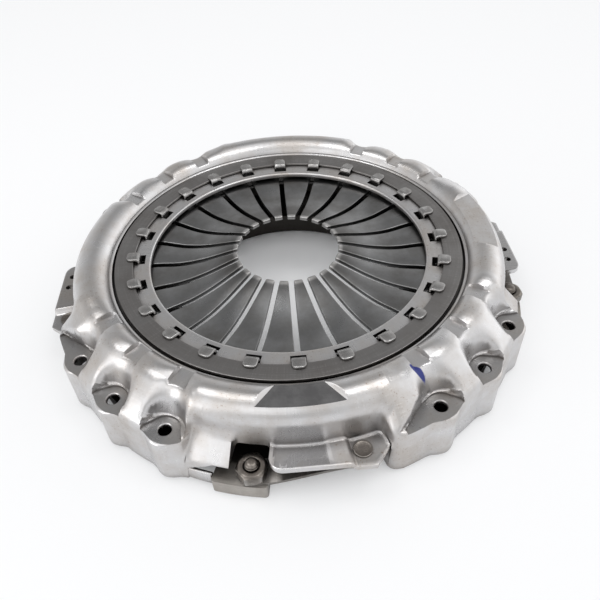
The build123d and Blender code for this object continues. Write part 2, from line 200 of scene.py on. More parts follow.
def steel_wear_effect():
    """Soft stains, speckle, fine scratches and small dents."""
    effect = Effect(
        "steel_wear",
        {
            "Stain Size": 28.0, "Speckle Size": 420.0, "Dent Depth": 0.1, "Scratch Depth": 0.05,
            "Grain Size": 900.0,
        },
        {"Stain": NUMBER, "Speckle": NUMBER, "Scratch": NUMBER, "Grain": NUMBER, "Normal": DIRECTION},
    )
    given = effect.given
    place = effect.place()
    parts = effect.parts(place)
    turn = effect.math("ARCTAN2", parts["Y"], parts["X"])
    reach = effect.length(place)

    def streaks(round_scale, out_scale):
        """Places drawn out into streaks: round the axis, or down the walls."""
        return effect.add("ShaderNodeCombineXYZ", {
            "X": effect.math("MULTIPLY", turn, round_scale),
            "Y": effect.math("MULTIPLY", reach, out_scale),
            "Z": effect.math("MULTIPLY", parts["Z"], out_scale),
        }).outputs[0]

    along = effect.noise(streaks(3.0, 900.0), 1.0, 3.0)
    down = effect.noise(streaks(130.0, 22.0), 1.0, 4.0, 0.65)
    grain = effect.noise(place, given["Grain Size"], 2.0)
    dent = effect.noise(place, 75.0, 3.0)
    normal = effect.bump(given["Dent Depth"], 0.002, dent)
    normal = effect.bump(given["Scratch Depth"], 0.0006, down, normal)
    normal = effect.bump(given["Scratch Depth"], 0.0001, grain, normal)
    halves = (effect.math("MULTIPLY", streak, 0.5) for streak in (along, down))
    effect.give(
        Stain=effect.noise(place, given["Stain Size"], 5.0, 0.62),
        Speckle=effect.noise(place, given["Speckle Size"], 3.0, 0.7),
        Scratch=effect.math("ADD", *halves),
        Grain=grain,
        Normal=normal,
    )
    return effect.tree


def wear_and_shade_effect():
    """Masks for worn outer edges and for painted shade in hollows."""
    effect = Effect(
        "edge_wear_and_shade",
        {"Wear Start": 0.53, "Wear End": 0.6, "Hollow Depth": 0.015},
        {"Worn": NUMBER, "Hollow": NUMBER},
    )
    sharp = effect.add("ShaderNodeNewGeometry").outputs["Pointiness"]
    given = effect.given
    # Ambient occlusion, which feeds the painted shade in hollows.
    shade = effect.add("ShaderNodeAmbientOcclusion", {"Distance": given["Hollow Depth"]}, samples=8)
    effect.give(
        Worn=effect.span(sharp, given["Wear Start"], given["Wear End"]),
        Hollow=effect.math("SUBTRACT", 1.0, shade.outputs["AO"]),
    )
    return effect.tree


STEEL_WEAR = steel_wear_effect()
WEAR_AND_SHADE = wear_and_shade_effect()


# ---------- materials


def tint(*color):
    """An opaque colour."""
    return (*color, 1.0)


def cover_material(name="cover_steel", light_share=1.0):
    """Drawn steel sheet: bright, warm, with cloudy stains and scuffs.

    It has painted shade in its hollows, a near-black line of painted shade in the gap round the
    preload spring and a stroke of blue paint on the shoulder. A light share under 1 paints shade over
    the whole sheet.
    """
    mat = Recipe(name)
    wear = mat.use(STEEL_WEAR, {
        "Stain Size": 24.0, "Speckle Size": 520.0, "Dent Depth": 0.10, "Scratch Depth": 0.22,
        "Grain Size": 1500.0,
    })
    hollow_shade = mat.use(WEAR_AND_SHADE, {"Hollow Depth": 0.014})["Hollow"]
    stain = wear["Stain"]
    color = mat.mix(mat.span(stain, 0.42, 0.66), tint(0.60, 0.595, 0.60), tint(0.51, 0.48, 0.455))
    specks = mat.span(wear["Speckle"], 0.60, 0.72)
    rust = mat.math("MULTIPLY", specks, mat.span(stain, 0.45, 0.6))
    color = mat.mix(rust, color, tint(0.27, 0.19, 0.14))
    color = mat.mix(mat.span(wear["Scratch"], 0.56, 0.72, 0.0, 0.5), color, tint(0.80, 0.79, 0.78))
    # Painted shade: ambient occlusion darkens the hollows towards near black.
    color = mat.mix(mat.span(hollow_shade, 0.10, 0.65, 0.0, 0.85), color, tint(0.12, 0.105, 0.095))

    plan, reach = mat.plan()
    # Painted shade: a near-black line in the gap round the preload spring.
    outside, inside = mat.span(reach, 0.1728, 0.1738), mat.span(reach, 0.1748, 0.1758, 1.0, 0.0)
    gap_shade = mat.math("MULTIPLY", mat.math("MULTIPLY", outside, inside), 0.93)
    color = mat.mix(gap_shade, color, tint(0.03, 0.03, 0.03))
    # Painted shade: a light share under 1 darkens the whole sheet towards near black.
    if light_share < 1:
        color = mat.mix(1.0 - light_share, color, tint(0.05, 0.046, 0.042))

    stroke = mat.add("ShaderNodeMapping", {
        "Vector": plan, "Location": (0.0946, -0.1776, 0.0), "Rotation": (0, 0, radians(-33)),
        "Scale": (0.0078, 0.0035, 1.0),
    }, vector_type="TEXTURE").outputs[0]
    ragged = mat.math("ADD", mat.length(stroke), mat.math("MULTIPLY", wear["Grain"], 0.3))
    paint = mat.span(ragged, 1.0, 1.18, 1.0, 0.0)
    rough = mat.span(stain, 0.35, 0.7, 0.25, 0.40)
    mat.put(
        base_color=mat.mix(paint, color, tint(0.012, 0.022, 0.17)),
        roughness=mat.math("ADD", rough, mat.math("MULTIPLY", paint, 0.2)),
        metallic=mat.math("SUBTRACT", 1.0, paint), normal=wear["Normal"],
    )
    return mat.material


def milled_material():
    """Face-milled flats: near mirror with fine cutter marks."""
    mat = Recipe("milled_steel")
    wear = mat.use(STEEL_WEAR, {
        "Stain Size": 60.0, "Speckle Size": 700.0, "Dent Depth": 0.0, "Scratch Depth": 0.05,
        "Grain Size": 2500.0,
    })
    mat.put(
        base_color=mat.mix(
            mat.span(wear["Stain"], 0.4, 0.65), tint(0.45, 0.445, 0.45), tint(0.33, 0.325, 0.33)
        ),
        roughness=mat.span(wear["Scratch"], 0.4, 0.7, 0.09, 0.2), metallic=1.0, normal=wear["Normal"],
    )
    return mat.material


def plain_steel(name, clean, stained, rough, stain_size, dents, scratches, worn=0.5, dark=None):
    """Steel or iron with cloudy stains, worn bright edges and painted shade in its hollows.

    The casting has near-black painted shade "inside", everywhere but on its lugs. The tabs have painted
    shade at their "roots", which stand in the shade of the cover's windows.
    """
    mat = Recipe(name)
    wear = mat.use(STEEL_WEAR, {
        "Stain Size": stain_size, "Speckle Size": 600.0, "Dent Depth": dents, "Scratch Depth": scratches,
        "Grain Size": 1600.0,
    })
    edge = mat.use(WEAR_AND_SHADE, {"Wear Start": 0.53, "Wear End": 0.62, "Hollow Depth": 0.008})
    color = mat.mix(mat.span(wear["Stain"], 0.38, 0.66), clean, stained)
    bright = tint(*(2.0 * channel for channel in clean[:3]))
    color = mat.mix(mat.span(wear["Scratch"], 0.52, 0.75, 0.0, 0.35), color, bright)
    # Painted shade: ambient occlusion darkens the hollows towards near black.
    color = mat.mix(mat.span(edge["Hollow"], 0.2, 0.9, 0.0, 0.7), color, tint(0.03, 0.027, 0.025))
    color = mat.mix(mat.span(edge["Worn"], 0.0, 1.0, 0.0, worn), color, tint(0.62, 0.61, 0.60))
    # Painted shade: inside the lugs' radius the casting goes near black.
    if dark == "inside":
        inside = mat.span(mat.plan()[1], 0.2165, 0.219, 0.93, 0.0)
        color = mat.mix(inside, color, tint(0.035, 0.032, 0.030))
    # Painted shade at the tabs' roots, low down in the windows.
    if dark == "roots":
        roots = mat.span(mat.parts(mat.place())["Z"], 0.0685, 0.0710, 0.9, 0.0)
        color = mat.mix(roots, color, tint(0.03, 0.028, 0.026))
    mat.put(
        base_color=color, roughness=mat.span(wear["Stain"], 0.35, 0.7, rough - 0.05, rough + 0.09),
        metallic=1.0, normal=wear["Normal"],
    )
    return mat.material


def spring_material():
    """Hardened spring: a dark oil finish, bright where the bearing has rubbed the tips."""
    mat = Recipe("spring_steel")
    wear = mat.use(STEEL_WEAR, {
        "Stain Size": 32.0, "Speckle Size": 380.0, "Dent Depth": 0.03, "Scratch Depth": 0.10,
        "Grain Size": 1400.0,
    })
    worn = mat.use(WEAR_AND_SHADE, {"Wear Start": 0.53, "Wear End": 0.60})["Worn"]
    stain = wear["Stain"]
    reach = mat.plan()[1]
    uneven = mat.math("ADD", reach, mat.math("MULTIPLY", stain, 0.004))
    color = mat.mix(mat.span(stain, 0.38, 0.68), tint(0.25, 0.252, 0.255), tint(0.155, 0.152, 0.148))
    color = mat.mix(mat.span(reach, 0.060, 0.082, 0.55, 0.0), color, tint(0.07, 0.066, 0.062))
    color = mat.mix(mat.span(uneven, 0.0545, 0.0585, 1.0, 0.0), color, tint(0.45, 0.44, 0.43))
    color = mat.mix(mat.span(wear["Speckle"], 0.66, 0.74, 0.0, 0.5), color, tint(0.30, 0.28, 0.25))
    color = mat.mix(mat.span(worn, 0.0, 1.0, 0.0, 0.7), color, tint(0.5, 0.5, 0.5))
    mat.put(
        base_color=color, roughness=mat.span(stain, 0.35, 0.7, 0.27, 0.38), metallic=1.0,
        normal=wear["Normal"],
    )
    return mat.material


# A copy of the cover steel with painted shade over it, for the pads and the brackets' upper faces.
painted_shade_steel = cover_material("cover_steel_shaded", 0.62)
milled = milled_material()
STEELS = {
    "ring_steel": dict(
        clean=tint(0.250, 0.243, 0.239), stained=tint(0.175, 0.166, 0.160), rough=0.36,
        stain_size=20.0, dents=0.02, scratches=0.08,
    ),
    "tab_steel": dict(
        clean=tint(0.40, 0.395, 0.39), stained=tint(0.28, 0.27, 0.265), rough=0.28,
        stain_size=120.0, dents=0.08, scratches=0.12, dark="roots",
    ),
    "plate_iron": dict(
        clean=tint(0.30, 0.270, 0.235), stained=tint(0.20, 0.168, 0.135), rough=0.42,
        stain_size=60.0, dents=0.16, scratches=0.25, worn=0.4, dark="inside",
    ),
    "strap_steel": dict(
        clean=tint(0.20, 0.19, 0.18), stained=tint(0.12, 0.11, 0.10), rough=0.36,
        stain_size=60.0, dents=0.03, scratches=0.1,
    ),
    "fastener_steel": dict(
        clean=tint(0.21, 0.19, 0.172), stained=tint(0.13, 0.117, 0.105), rough=0.30,
        stain_size=160.0, dents=0.05, scratches=0.1,
    ),
}
MATERIALS = {
    "cover_steel": cover_material(), "spring_steel": spring_material(),
    **{name: plain_steel(name, **look) for name, look in STEELS.items()},
}
SLOTS = {part["node"]: part["material_slot"] for part in frame["record"]["subparts"]}
BODY = {node: body for body, held in frame["record"]["behaviour"]["bodies"].items() for node in held}
for node, slot in SLOTS.items():
    mesh = nodes[node].data
    mesh.materials.clear()
    mesh.materials.append(MATERIALS[slot])


# ---------- mesh helpers


def finish(name, form, smooth=True):
    """A linked object from a bmesh, in the frame's own coordinates."""
    for face in form.faces:
        face.smooth = smooth
    mesh = bpy.data.meshes.new(name)
    form.to_mesh(mesh)
    form.free()
    piece = bpy.data.objects.new(name, mesh)
    bpy.context.scene.collection.objects.link(piece)
    return piece


def lathe_grid(name, angles, r, z):
    """A ring of closed sections: a grid wrapped round the axis."""
    columns, rows = r.shape
    form = bmesh.new()
    bmesh.ops.create_grid(form, x_segments=columns, y_segments=rows, size=1)
    for vertex in form.verts:
        column = round((vertex.co.x + 1) / 2 * columns) % columns
        row = round((vertex.co.y + 1) / 2 * rows) % rows
        a, radius = radians(angles[column]), r[column, row] * MM
        vertex.co = (radius * cos(a), radius * sin(a), z[column, row] * MM)
    bmesh.ops.remove_doubles(form, verts=form.verts, dist=1e-7)
    bmesh.ops.recalc_face_normals(form, faces=form.faces)
    return finish(name, form)


def turned(name, section, columns=288):
    """A closed section of radius and height turned round the axis."""
    r, z = (np.array([point[k] for point in section], float) for k in (0, 1))
    wide = np.ones((columns, 1))
    return lathe_grid(name, np.arange(columns) * 360.0 / columns, wide * r, wide * z)


def add_loft(form, points, spot=None):
    """A closed section through points[station][corner], with its ends filled."""
    stations, corners = points.shape[:2]
    made = bmesh.ops.create_grid(form, x_segments=stations - 1, y_segments=corners, size=1)["verts"]
    for vertex in made:
        station = round((vertex.co.x + 1) / 2 * (stations - 1))
        corner = round((vertex.co.y + 1) / 2 * corners) % corners
        vertex.co = Vector(points[station, corner]) * MM
    if spot is not None:
        bmesh.ops.transform(form, matrix=spot, verts=made)
    bmesh.ops.remove_doubles(form, verts=form.verts, dist=1e-7)
    bmesh.ops.holes_fill(form, edges=[edge for edge in form.edges if edge.is_boundary], sides=0)
    bmesh.ops.recalc_face_normals(form, faces=form.faces)


def loft(name, points, spot=None):
    """A piece of its own made by add_loft."""
    form = bmesh.new()
    add_loft(form, points, spot)
    return finish(name, form)


def add_box(form, spot, size):
    """A box of the given full sizes."""
    made = bmesh.ops.create_cube(form, size=1)["verts"]
    bmesh.ops.scale(form, vec=[value * MM for value in size], verts=made)
    bmesh.ops.transform(form, matrix=spot, verts=made)


def add_cone(form, spot, low_radius, high_radius, height, segments=40):
    """A cylinder or cone standing on its spot."""
    made = bmesh.ops.create_cone(
        form, cap_ends=True, segments=segments, radius1=low_radius * MM,
        radius2=high_radius * MM, depth=height * MM,
    )["verts"]
    bmesh.ops.transform(form, matrix=spot @ Matrix.Translation((0, 0, height * MM / 2)), verts=made)


def cut(piece, cutter):
    """Takes the cutter's space out of the piece and drops the cutter."""
    step = piece.modifiers.new("cut", "BOOLEAN")
    step.operation, step.solver, step.object = "DIFFERENCE", "EXACT", cutter
    done = bpy.data.meshes.new_from_object(piece.evaluated_get(bpy.context.evaluated_depsgraph_get()))
    piece.modifiers.clear()
    piece.data, old = done, piece.data
    bpy.data.meshes.remove(old)
    bpy.data.objects.remove(cutter)


def crease(piece, angle):
    """Sharp edges where two faces meet at more than the angle."""
    piece.data.set_sharp_from_angle(angle=radians(angle))


def turn_to(angle):
    """A turn round the clutch axis, in degrees."""
    return Matrix.Rotation(radians(angle), 4, "Z")


def placed(angle, radius, z, across=0.0):
    """A spot on the ring: x points outwards, y round the ring, z up."""
    return turn_to(angle) @ Matrix.Translation((radius * MM, across * MM, z * MM))


def dress(piece, node, ride=True):
    """Gives a piece the finish and the body of the node it stands for."""
    piece.data.materials.clear()
    piece.data.materials.append(MATERIALS[SLOTS[node]])
    if ride:
        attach(piece, BODY[node])
    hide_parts(node)
    return piece


# ---------- outlines


def round_section(half_wide, half_thick, corner, steps=4):
    """Corners of a rounded rectangle: offsets across and along the thickness."""
    corner = min(corner, half_wide * 0.98, half_thick * 0.98)
    spots = []
    for quarter, (x, y) in enumerate(((1, 1), (-1, 1), (-1, -1), (1, -1))):
        for step in range(steps):
            a = pi / 2 * (quarter + step / (steps - 1))
            spots.append((
                x * (half_wide - corner) + corner * cos(a), y * (half_thick - corner) + corner * sin(a)
            ))
    return np.array(spots)


def ribbon(path, halves, half_thick, corner):
    """Stations of a strip along a path in x and z, with its half width at each."""
    path = np.array(path, float)
    way = np.gradient(path, axis=0)
    way /= np.linalg.norm(way, axis=1)[:, None]
    rows = []
    thicks = np.broadcast_to(half_thick, len(path))
    for (x, z), (run, rise), half, thick in zip(path, way, halves, thicks):
        section = round_section(half, thick, corner)
        rows.append([(x - rise * v, u, z + run * v) for u, v in section])
    return np.array(rows)


def through(knots, values, at):
    """A smooth line through the knots, read at the given places."""
    knots, values, at = np.array(knots, float), np.array(values, float), np.array(at, float)
    slope = np.gradient(values, knots)
    k = np.clip(np.searchsorted(knots, at) - 1, 0, len(knots) - 2)
    gap = knots[k + 1] - knots[k]
    t = (at - knots[k]) / gap
    return (
        (2 * t**3 - 3 * t**2 + 1) * values[k] + (t**3 - 2 * t**2 + t) * gap * slope[k]
        + (3 * t**2 - 2 * t**3) * values[k + 1] + (t**3 - t**2) * gap * slope[k + 1]
    )


def rounded_end(distance, radius):
    """What a corner of the given radius takes off the half width near an end."""
    d = np.clip(distance, 0, radius)
    return radius - np.sqrt(np.maximum(radius**2 - (radius - d) ** 2, 0))


def ease(x, low, high):
    """0 below the low end, 1 above the high end and a soft step between them."""
    t = np.clip((x - low) / (high - low), 0, 1)
    return t * t * (3 - 2 * t)


def round_max(a, b, k):
    """The larger of two distances, with the corner between them rounded off."""
    h = np.clip(0.5 + 0.5 * (a - b) / k, 0, 1)
    return b + (a - b) * h + k * h * (1 - h)


def round_min(a, b, k):
    """The smaller of two distances, with the corner between them filled in."""
    return -round_max(-a, -b, k)


# ---------- pressed cover: its form
#
# The sheet's outer face is where the distance of cover_gap is zero. In each of the four quarters an
# angle u, in degrees, counts from the start of the bolt sector: the sector with its three pads comes
# first, then the lug's window under its apron, then the strap bracket. far is the same angle, but
# negative just ahead of the next sector.

QUARTERS, QUARTER = 4, 90.0
SECTOR_START, SECTOR, SECTOR_LEAD = 290.0, 45.0, -3.0
HOLES = (10.0, 25.0, 40.0)
APRON_START, APRON_END, BRACKET_START, BRACKET_END = 30.0, 54.2, 62.3, 84.0

SHEET = 5.0
CREST_R, CREST_Z, TORUS = 195.0, 67.0, 18.5
WALL_R = CREST_R + TORUS
SKIRT_R, SKIRT_Z, SKIRT_ROUND, SKIRT_FOOT = 218.5, 48.0, 16.0, 4.0
SLOPE = radians(46.3)
BOLT_R, PAD_Z, LEDGE, COLUMN_R, POCKET_R = 225.0, 52.0, 1.7, 15.3, 13.7
NOTCH_Z, NOTCH_HALF = 78.7, 2.4
BRACKET_MIDDLE, BRACKET_ARC, BRACKET_IN = 70.0, 221.0, 214.8
BRACKET_R, BRACKET_TOP, BRACKET_CORNER = 236.4, 44.0, 13.0
STEP_DROP, STEP_START, STEP_END = 4.5, 32.0, 36.0
PANEL_ACROSS, PANEL_R, PANEL_HALF, PANEL_HALF_DEEP, PANEL_SUNK = -4.0, 222.8, 22.0, 10.2, 1.6
APRON_IN, APRON_R, APRON_BOTTOM, APRON_SLANT = 205, 233.0, 32.0, (0.7295, 0.684)
APRON_FALL, FALL_START, FALL_RUN = 13.0, 50.6, 5.6
WINDOW_TOP, WINDOW_CORNER = 42.0, 6
EDGE_INSET = 0.35  # the lower edge stays this far inside the bracket's outline
FLAT_Z = 82.0
PLATE_R, PLATE_TOP = 218.6, 44.0  # the iron plate moves inside this radius, below this height
CREST_ARC, SKIRT_ARC, EDGE_ARC = 3.4, 3.9, 4.15  # millimetres in a degree at crest, skirt and bracket
NOWHERE = 50  # a distance that keeps a form away from a place

EYE_R, EYE_Z, EYE_TURN = 195.0, 30.0, radians(42)  # rays leave this circle to find the sheet
FAR_RAY, NEAR_RAY, HALVINGS = 66, 6, 9


def quarter_angle(a):
    """The angle u of a place in its quarter."""
    return np.mod(a - SECTOR_START, QUARTER)


def is_front(a):
    """Whether an angle is in the quarter whose bracket holds the bare panel."""
    return (a > 240) & (a < 300)


def around_bracket(u):
    """The angle u, counted on past the quarter's end where the bracket reaches beyond it."""
    return np.where(u < 10, u + QUARTER, u)


def from_hole(u):
    """Degrees from the nearest bolt hole of the sector."""
    first, middle, last = HOLES
    nearest = np.where(u < (first + middle) / 2, first, np.where(u < (middle + last) / 2, middle, last))
    return u - nearest


def torus_gap(r, z):
    """Distance outside the shoulder and the short wall of a strap bay."""
    round_part = np.hypot(r - CREST_R, z - CREST_Z) - TORUS
    return np.where(z > CREST_Z, round_part, np.where(r > CREST_R, r - WALL_R, round_part))


def pillow_gap(r, z):
    """Distance outside the pillow of a bolt bay: shoulder, slope, round and straight skirt."""
    normal, along = (cos(SLOPE), sin(SLOPE)), (-sin(SLOPE), cos(SLOPE))
    x, y = r - SKIRT_R, z - SKIRT_Z
    climb = x * along[0] + y * along[1]
    length = (CREST_R - SKIRT_R) * along[0] + (CREST_Z - SKIRT_Z) * along[1]
    slope = x * normal[0] + y * normal[1] - SKIRT_ROUND
    corner = np.where(y < 0, x - SKIRT_ROUND, np.hypot(x, y) - SKIRT_ROUND)
    corner = np.where((y > 0) & (x < 0), slope, corner)
    crest = np.hypot(r - CREST_R, z - CREST_Z) - TORUS
    return np.where(climb < 0, corner, np.where(climb > length, crest, slope))


def crest_dip(u, r):
    """How far the sheet lies lower along a bolt sector, deepest above each hole."""
    along = ease(u, -1, 4) * (1 - ease(u, 42, 47))
    dip = 1.6 + 3.4 * np.exp(-((from_hole(u) * CREST_ARC / 13) ** 2))
    return dip * along * ease(r, 183, 197)


def sector_gap(u, far, r, z):
    """Distance outside the shoulder with the pillows and pad columns on it."""
    dip = crest_dip(u, r)
    pillow = pillow_gap(r, z) + dip * (1 - ease(r, 200, 222))
    turn = np.radians(from_hole(u))
    column = np.hypot(r * np.cos(turn) - BOLT_R, r * np.sin(turn)) - COLUMN_R
    block = round_min(pillow, round_max(column, z - PAD_Z, 2.5), 5.0)
    ends = np.maximum(SECTOR_LEAD - far, far - SECTOR) * radians(1) * 222 * 0.85
    block = round_max(block, ends, np.where(far < 20, 13.0, 9.0))
    blend = 0.05 + 6.5 * ease(ends, -14, -1) * ease(r, 197, 208)
    return round_min(torus_gap(r, z) + dip, block, blend)


def apron_gap(far, r, z):
    """Distance outside the slanted apron that the sector throws over the lug's window."""
    slant = (r - WALL_R) * APRON_SLANT[0] + (z - PAD_Z) * APRON_SLANT[1]
    apron = np.maximum(round_max(slant, r - APRON_R, 2.0), APRON_IN - r)
    beyond = np.maximum(far - APRON_END, APRON_START - far) * radians(1) * BOLT_R
    return round_max(apron, beyond, 0.1)


def sink_pads(gap, u, far, r, z):
    """Sinks the pockets over the bolt pads, the first pad's tail and the notches of the crest."""
    turn = from_hole(u)
    x, t = r * np.cos(np.radians(turn)) - BOLT_R, r * np.sin(np.radians(turn))
    height = z - PAD_Z - LEDGE
    reach = POCKET_R + 0.30 * np.clip(height, 0, 40)
    squeeze = 0.74 + 0.017 * np.clip(height, 0, 30)
    pocket = np.minimum(reach - np.hypot(x, squeeze * t), height)
    gap = round_max(gap, pocket, 1.2 + 0.30 * np.clip(height, 0, 26))
    tail = np.minimum(np.minimum(r - 213 - 1.9 * (8 - far), (10 - far) * SKIRT_ARC), height)
    gap = round_max(gap, np.where((far > -6) & (far < 11), tail, -NOWHERE), 1.5)
    notch = np.minimum(z - NOTCH_Z, (NOTCH_HALF - np.abs(turn)) * CREST_ARC)
    return round_max(gap, np.where(u < 50, notch, -NOWHERE), 0.45)


def plate_top(u, r, front):
    """Height of the bracket's upper face, with its step and bare panel."""
    across = (around_bracket(u) - BRACKET_MIDDLE) * radians(1) * BRACKET_ARC
    top = BRACKET_TOP - STEP_DROP * ease(across, STEP_START, STEP_END)
    sideways, outwards = np.abs(across - PANEL_ACROSS), np.abs(r - PANEL_R)
    inside = round_min(PANEL_HALF - sideways, PANEL_HALF_DEEP - outwards, 3.0)
    return top - np.where(front, PANEL_SUNK, 0.0) * ease(inside, -0.3, 0.6)


def plate_edge(u):
    """Outer radius of the bracket: a straight edge with one rounded corner."""
    turn = around_bracket(u)
    out = BRACKET_R - rounded_end((u - BRACKET_START) * EDGE_ARC, BRACKET_CORNER)
    return out / np.cos(np.radians(turn - BRACKET_MIDDLE)) - 4.4 * np.clip(turn - 83.0, 0, 7)


def cover_gap(r, a, z, inner=0.0, plates=True):
    """Distance outside the pressed sheet; inner asks for the face below."""
    u = quarter_angle(a)
    far = np.where(u > 67.5, u - QUARTER, u)
    gap = round_min(sector_gap(u, far, r, z), apron_gap(far, r, z), 5.0)
    gap = sink_pads(gap, u, far, r, z) + inner
    top = plate_top(u, r, is_front(a))
    slab = round_max(r - plate_edge(u), z - top + inner, 1.0)
    slab = np.where(u > BRACKET_END, np.maximum(slab, top - SHEET - z), slab)
    slab = np.where((u > BRACKET_START) & plates, slab, NOWHERE)
    return round_min(gap, slab, 3.5)


def cast(column_angle, ray_angle, inner=0.0):
    """Distance from the eye circle, along each ray, to where it leaves the pressed sheet."""
    c, s = np.cos(ray_angle), np.sin(ray_angle)
    found = np.full(ray_angle.shape, float(NEAR_RAY))
    open_ray = np.ones(ray_angle.shape, bool)
    last = np.full(ray_angle.shape, float(FAR_RAY))
    for distance in np.linspace(FAR_RAY, NEAR_RAY, FAR_RAY - NEAR_RAY + 1):
        gap = cover_gap(EYE_R + distance * c, column_angle, EYE_Z + distance * s, inner)
        hit = open_ray & (gap < 0)
        found[hit] = distance
        open_ray &= ~hit
        last[open_ray] = distance
    low, high = found, np.minimum(last, found + 1.0)
    for halving in range(HALVINGS):
        middle = (low + high) / 2
        gap = cover_gap(EYE_R + middle * c, column_angle, EYE_Z + middle * s, inner)
        low, high = np.where(gap < 0, middle, low), np.where(gap < 0, high, middle)
    return (low + high) / 2


def lower_edge(a, inner=0.0):
    """Radius and height of the sheet's lower edge at each angle."""
    u = quarter_angle(a)
    side = np.minimum(u - APRON_END, BRACKET_START - u) * radians(1) * WALL_R
    window = WINDOW_TOP - rounded_end(side, WINDOW_CORNER)
    skirt = (u < SECTOR) | (u > BRACKET_END)
    apron = APRON_BOTTOM - APRON_FALL * np.clip((FALL_START - u) / FALL_RUN, 0, 1)
    height = np.where(skirt, SKIRT_FOOT, np.where(u < APRON_END, apron, window))
    radius, outside = np.full(a.shape, 200.0), np.full(a.shape, 200.0)
    for distance in np.linspace(48, 6, 169):
        gap = cover_gap(EYE_R + distance, a, height, inner, plates=False)
        radius = np.where((radius == 200.0) & (gap < 0), EYE_R + distance, radius)
        outside = np.where((outside == 200.0) & (gap < inner), EYE_R + distance, outside)
    bracket = (u > BRACKET_START) & ((u < BRACKET_END) | (outside < 224))
    edge = plate_edge(u) - EDGE_INSET
    height = np.where(bracket, plate_top(u, edge, is_front(a)) - (inner or EDGE_INSET), height)
    return np.where(bracket, edge, radius), height


def shell_columns():
    """Angles of the shell's columns, closer where the sheet turns sharply."""
    stops = [
        (0, 4, 0.3), (4, 7.4, 0.6), (7.4, 12.6, 0.35), (12.6, 22.4, 0.55), (22.4, 27.6, 0.35),
        (27.6, 37.4, 0.55), (37.4, 42.6, 0.35), (42.6, 48, 0.35), (48, 54.16, 0.7),
        (54.16, 54.24, 0.08), (54.24, 62.26, 0.6), (62.26, 62.34, 0.08), (62.34, 66, 0.35),
        (66, 78, 0.55), (78, 85, 0.5), (85, 90, 0.25),
    ]
    unit = np.concatenate([
        np.linspace(low, high, max(1, round((high - low) / pitch)), endpoint=False)
        for low, high, pitch in stops
    ])
    return np.concatenate([unit + SECTOR_START - QUARTER * turn for turn in range(QUARTERS)]) % 360


def shell_face(angles, rows_top, rows_low, inner):
    """Points of one face of the sheet, from the recess's rim to the lower edge."""
    radius, height = lower_edge(angles, inner)
    last = np.arctan2(height - EYE_Z, radius - EYE_R)
    first = atan2(74.6 - inner - EYE_Z, 178.1 + 0.55 * inner - EYE_R)
    top = np.linspace(first, EYE_TURN, rows_top, endpoint=False)
    share = np.linspace(0, 1, rows_low)
    low = EYE_TURN + (last[:, None] - EYE_TURN) * share[None, :]
    rays = np.concatenate([np.repeat(top[None, :], len(angles), 0), low], 1)
    wide = np.repeat(angles[:, None], rays.shape[1], 1)
    far = cast(wide, rays, inner)
    r, z = EYE_R + far * np.cos(rays), EYE_Z + far * np.sin(rays)
    r[:, -1], z[:, -1] = radius, height
    u = quarter_angle(angles)[:, None]
    beside_plate = ((u < SECTOR) | (u > 86.5)) & (z < PLATE_TOP) & (inner > 0)
    return np.where(beside_plate, np.maximum(r, PLATE_R), r), z


def make_shell():
    """The drawn shoulder, bolt sectors, aprons, short walls and brackets as one closed sheet."""
    angles = np.sort(shell_columns())
    outer = shell_face(angles, 46, 40, 0.0)
    inner = shell_face(angles, 14, 14, SHEET)
    r, z = (np.concatenate([out, low[:, ::-1]], 1) for out, low in zip(outer, inner))
    return lathe_grid("cover_shell", angles, r, z)


def pad_outline(first):
    """Plan of a bolt pad: an eye, with a long tail at the first of a sector."""
    half_t = [3.3, 6.5, 9.3, 11.5, 13.5, 16, 18.5]
    half_x = [-12.2, -11.2, -9.3, -6.8, -3.4, 0.2, 3.5]
    t = np.array([-value for value in half_t[::-1]] + [0] + half_t)
    x = np.array(half_x[::-1] + [-12.5] + half_x)
    if first:
        t[:5], x[:5] = (-40, -31, -23, -15, -9.5), (1.5, -2.5, -6.2, -9.3, -11.2)
    fine = np.linspace(0, len(t) - 1, 57)
    steps = np.arange(len(t))
    rim = 16.0
    return list(zip(through(steps, t, fine), through(steps, x, fine))) + [(half_t[-1], rim), (t[0], rim)]


HOLE_R, HOLE_EDGE = 5.5, 3.0
HOOK_R, HOOKS = 3.25, ((-13, 227), (3, 228))  # places across and out from the clutch axis
MILLED_FLATS = ((269.5, 17.5, 45.0), (2.5, 34.0, 52.0))  # middle, half inside and half outside


def pad_cutter():
    """What the press sinks above each bolt pad."""
    form = bmesh.new()
    levels = ((PAD_Z, 0.0), (PAD_Z + 8, 0.25), (PAD_Z + 30, 2.0))
    for unit in range(QUARTERS):
        for hole in HOLES:
            outline = pad_outline(hole == HOLES[0])
            points = [[(BOLT_R + x - grow, t, z) for t, x in outline] for z, grow in levels]
            add_loft(form, np.array(points), turn_to(SECTOR_START + QUARTER * unit + hole))
    return form


def flat_cutter():
    """The space above the flats of the crest: a block with slanted sides for each."""
    form = bmesh.new()
    for middle, inner_half, outer_half in MILLED_FLATS:
        made = bmesh.ops.create_cube(form, size=1)["verts"]
        for vertex in made:
            outside, left, high = (value > 0 for value in vertex.co)
            half = (outer_half if outside else inner_half) + (14.0 if high else 0.0)
            radial = 214.0 if outside else 180.0
            height = 95.0 if high else FLAT_Z
            vertex.co = (radial * MM, (half if left else -half) * MM, height * MM)
        bmesh.ops.transform(form, matrix=turn_to(middle), verts=made)
    return form


